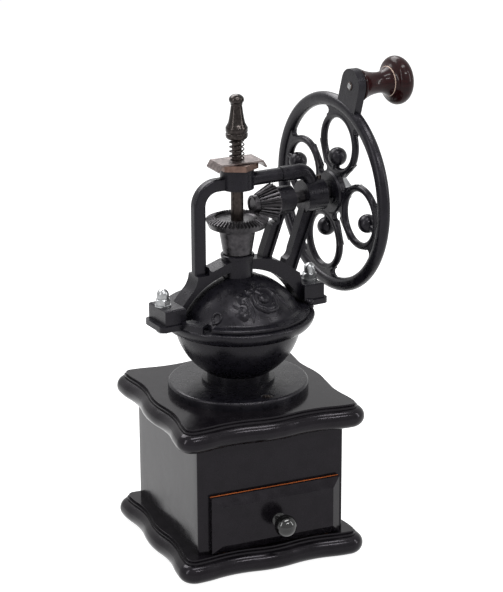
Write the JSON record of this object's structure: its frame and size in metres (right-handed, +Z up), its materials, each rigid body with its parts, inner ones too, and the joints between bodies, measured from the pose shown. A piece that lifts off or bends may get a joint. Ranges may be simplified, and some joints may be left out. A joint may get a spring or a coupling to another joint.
{
  "type": "manual coffee grinder",
  "caption": "Hand cranked coffee mill: black moulded box with a drawer, domed iron hopper, open bevel gears and a scroll wheel with a red knob",
  "frame": {"origin": "middle of the foot board's underside, on the spindle's axis", "axes": "+Z up along the spindle, -Y to the drawer's front, +X towards the crank wheel (the mill head is turned 6.5 degrees about Z from it)"},
  "size_m": [0.1786, 0.1527, 0.3205],
  "materials": {
    "black_cast_iron": "satin",
    "black_lacquered_wood": "gloss",
    "raw_wood": "raw",
    "red_lacquered_wood": "gloss",
    "gunmetal": "satin",
    "bright_zinc": "satin",
    "grey_bronze": "satin"
  },
  "bodies": {
    "mill": {"foot_board": "black_lacquered_wood", "top_board": "black_lacquered_wood", "front_panel": "black_lacquered_wood", "back_panel": "black_lacquered_wood", "left_panel": "black_lacquered_wood", "right_panel": "black_lacquered_wood", "mounting_flange": "black_cast_iron", "flange_screws": "bright_zinc", "hopper_bowl": "black_cast_iron", "bowl_rim": "black_cast_iron", "rear_cover": "black_cast_iron", "outer_burr": "gunmetal", "yoke_frame": "black_cast_iron", "oil_cup": "gunmetal", "yoke_bolts": "bright_zinc", "yoke_washers": "bright_zinc", "yoke_cap_nuts": "bright_zinc"},
    "drawer": {"drawer_front": "black_lacquered_wood", "drawer_left_side": "raw_wood", "drawer_right_side": "raw_wood", "drawer_back": "raw_wood", "drawer_bottom": "raw_wood", "drawer_knob": "black_lacquered_wood", "drawer_knob_screw": "bright_zinc"},
    "lid": {"hopper_lid": "black_cast_iron", "lid_knob": "gunmetal"},
    "drive": {"bevel_pinion": "gunmetal", "drive_shaft": "gunmetal", "drive_wheel": "black_cast_iron", "wheel_washer": "bright_zinc", "wheel_nut": "bright_zinc", "handle_bolt": "bright_zinc", "handle_washer": "bright_zinc"},
    "handle": {"handle_knob": "red_lacquered_wood"},
    "crown": {"crown_gear": "gunmetal"},
    "burr_spindle": {"spindle": "gunmetal", "inner_burr": "gunmetal", "finial_nut": "gunmetal", "tension_spring": "gunmetal"},
    "adjuster": {"adjusting_nut": "grey_bronze"},
    "lock": {"lock_plate": "grey_bronze"}
  },
  "joints": [
    {"name": "drawer_slide", "type": "slide", "parent": "mill", "child": "drawer", "axis": [0, -1, 0], "range_m": [0, 0.07]},
    {"name": "lid_swing", "type": "hinge", "parent": "mill", "child": "lid", "pos_m": [0, 0, 0.1587], "axis": [0, 0, 1], "range_deg": [-118, 0]},
    {"name": "wheel_spin", "type": "hinge", "parent": "mill", "child": "drive", "pos_m": [0, 0, 0.2291], "axis": [0.9936, 0.1132, 0], "continuous": true},
    {"name": "handle_knob_spin", "type": "hinge", "parent": "drive", "child": "handle", "pos_m": [0.07988, -0.01562, 0.30471], "axis": [0.9936, 0.1132, 0], "continuous": true},
    {"name": "crown_spin", "type": "hinge", "parent": "mill", "child": "crown", "pos_m": [0, 0, 0.2206], "axis": [0, 0, 1], "continuous": true},
    {"name": "spindle_lift", "type": "slide", "parent": "crown", "child": "burr_spindle", "axis": [0, 0, 1], "range_m": [-0.00118, 0.00078]},
    {"name": "adjusting_nut_turn", "type": "hinge", "parent": "crown", "child": "adjuster", "pos_m": [0, 0, 0.257], "axis": [0, 0, 1], "range_deg": [-225, 340]},
    {"name": "lock_plate_lift", "type": "slide", "parent": "crown", "child": "lock", "axis": [0, 0, 1], "range_m": [0, 0.003], "stiffness_N_per_m": 800, "springref_m": -0.002, "deforming": ["tension_spring"]}
  ],
  "couplings": [
    {"joint": "crown_spin", "follows": "wheel_spin", "ratio": 0.42},
    {"joint": "adjusting_nut_turn", "follows": "spindle_lift", "rad_per_m": -5026.6}
  ]
}
